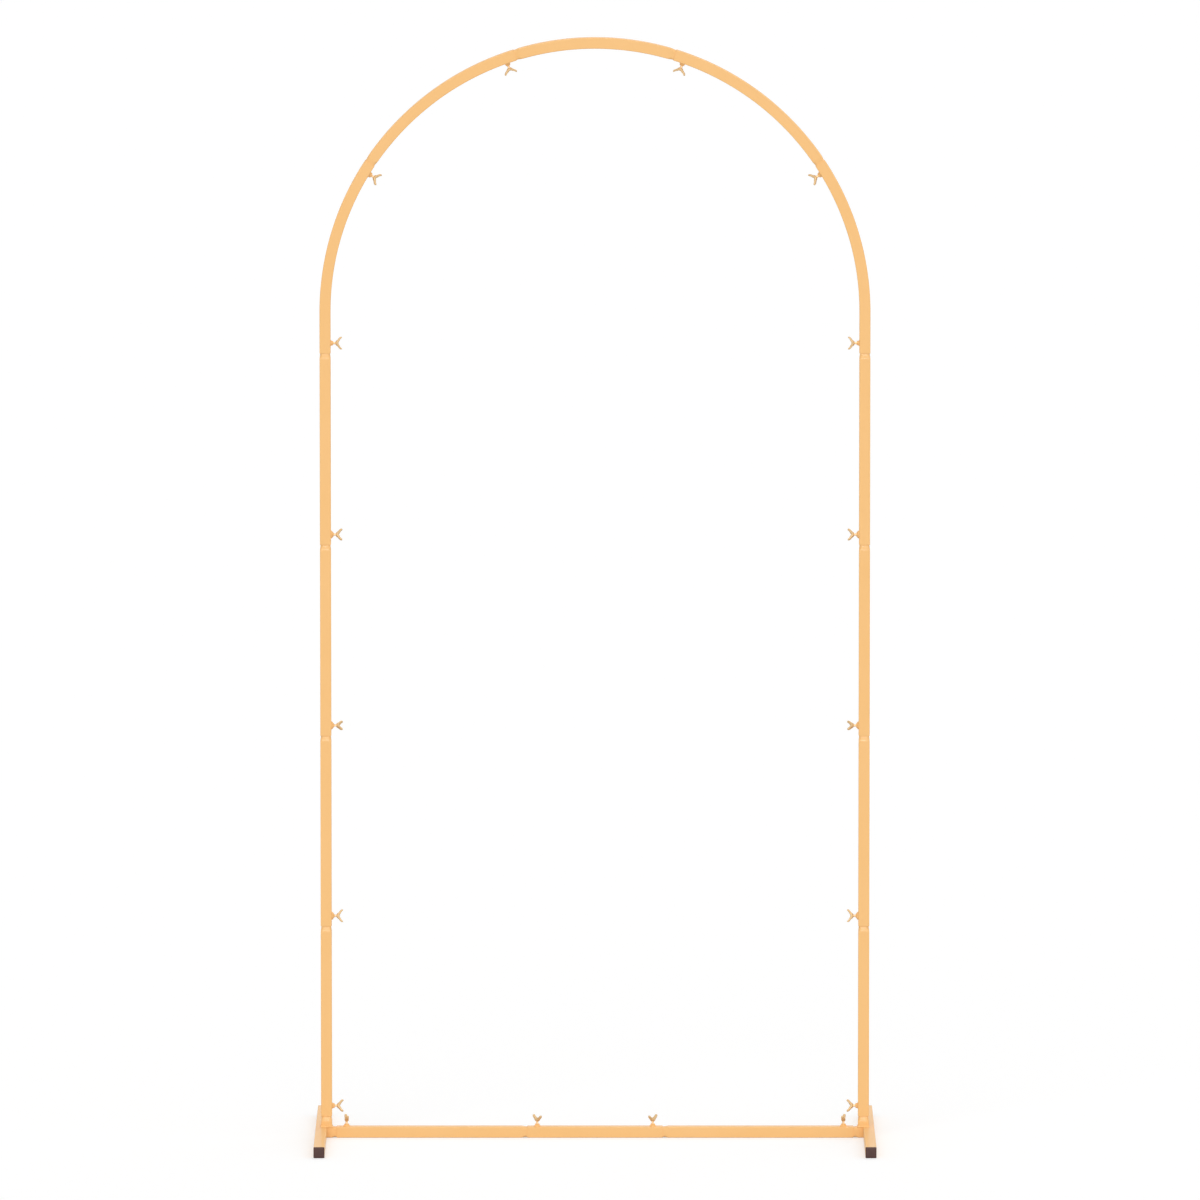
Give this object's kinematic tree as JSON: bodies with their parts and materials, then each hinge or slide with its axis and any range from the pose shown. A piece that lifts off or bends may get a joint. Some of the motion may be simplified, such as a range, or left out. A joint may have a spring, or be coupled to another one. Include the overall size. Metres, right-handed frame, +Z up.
{
  "type": "wedding arch frame",
  "caption": "Free-standing round-topped arch frame of square steel tube, with sleeved sections, wing screws, a ground rail and two front-to-back feet.",
  "frame": {"origin": "on the floor, midway between the two posts, in the plane of the arch", "axes": "+Z up, +X to the right seen from the front, +Y from front to back along the feet"},
  "size_m": [1.02, 0.5, 2.015],
  "materials": {
    "gold_paint": "satin gold powder coat on steel tube",
    "gold_screws": "gold-coated steel wing screws",
    "cap_plastic": "dark brown moulded plastic"
  },
  "bodies": {
    "root": {"left_foot_tube": "gold_paint", "left_post_stub": "gold_paint", "left_rail_stub": "gold_paint", "left_post_1": "gold_paint", "left_post_2": "gold_paint", "left_post_3": "gold_paint", "left_post_4": "gold_paint", "left_lower_arc": "gold_paint", "left_upper_arc": "gold_paint", "left_rail": "gold_paint", "right_foot_tube": "gold_paint", "right_post_stub": "gold_paint", "right_rail_stub": "gold_paint", "right_post_1": "gold_paint", "right_post_2": "gold_paint", "right_post_3": "gold_paint", "right_post_4": "gold_paint", "right_lower_arc": "gold_paint", "right_upper_arc": "gold_paint", "right_rail": "gold_paint", "crown_arc": "gold_paint", "middle_rail": "gold_paint", "post_weld_nuts": "gold_paint", "arch_weld_nuts": "gold_paint", "rail_weld_nuts": "gold_paint", "left_post_screw_1": "gold_screws", "left_post_screw_2": "gold_screws", "left_post_screw_3": "gold_screws", "left_post_screw_4": "gold_screws", "left_post_screw_5": "gold_screws", "left_arch_screw_1": "gold_screws", "left_arch_screw_2": "gold_screws", "left_rail_screw_1": "gold_screws", "left_rail_screw_2": "gold_screws", "right_post_screw_1": "gold_screws", "right_post_screw_2": "gold_screws", "right_post_screw_3": "gold_screws", "right_post_screw_4": "gold_screws", "right_post_screw_5": "gold_screws", "right_arch_screw_1": "gold_screws", "right_arch_screw_2": "gold_screws", "right_rail_screw_1": "gold_screws", "right_rail_screw_2": "gold_screws", "left_foot_end_caps": "cap_plastic", "right_foot_end_caps": "cap_plastic"}
  },
  "joints": []
}
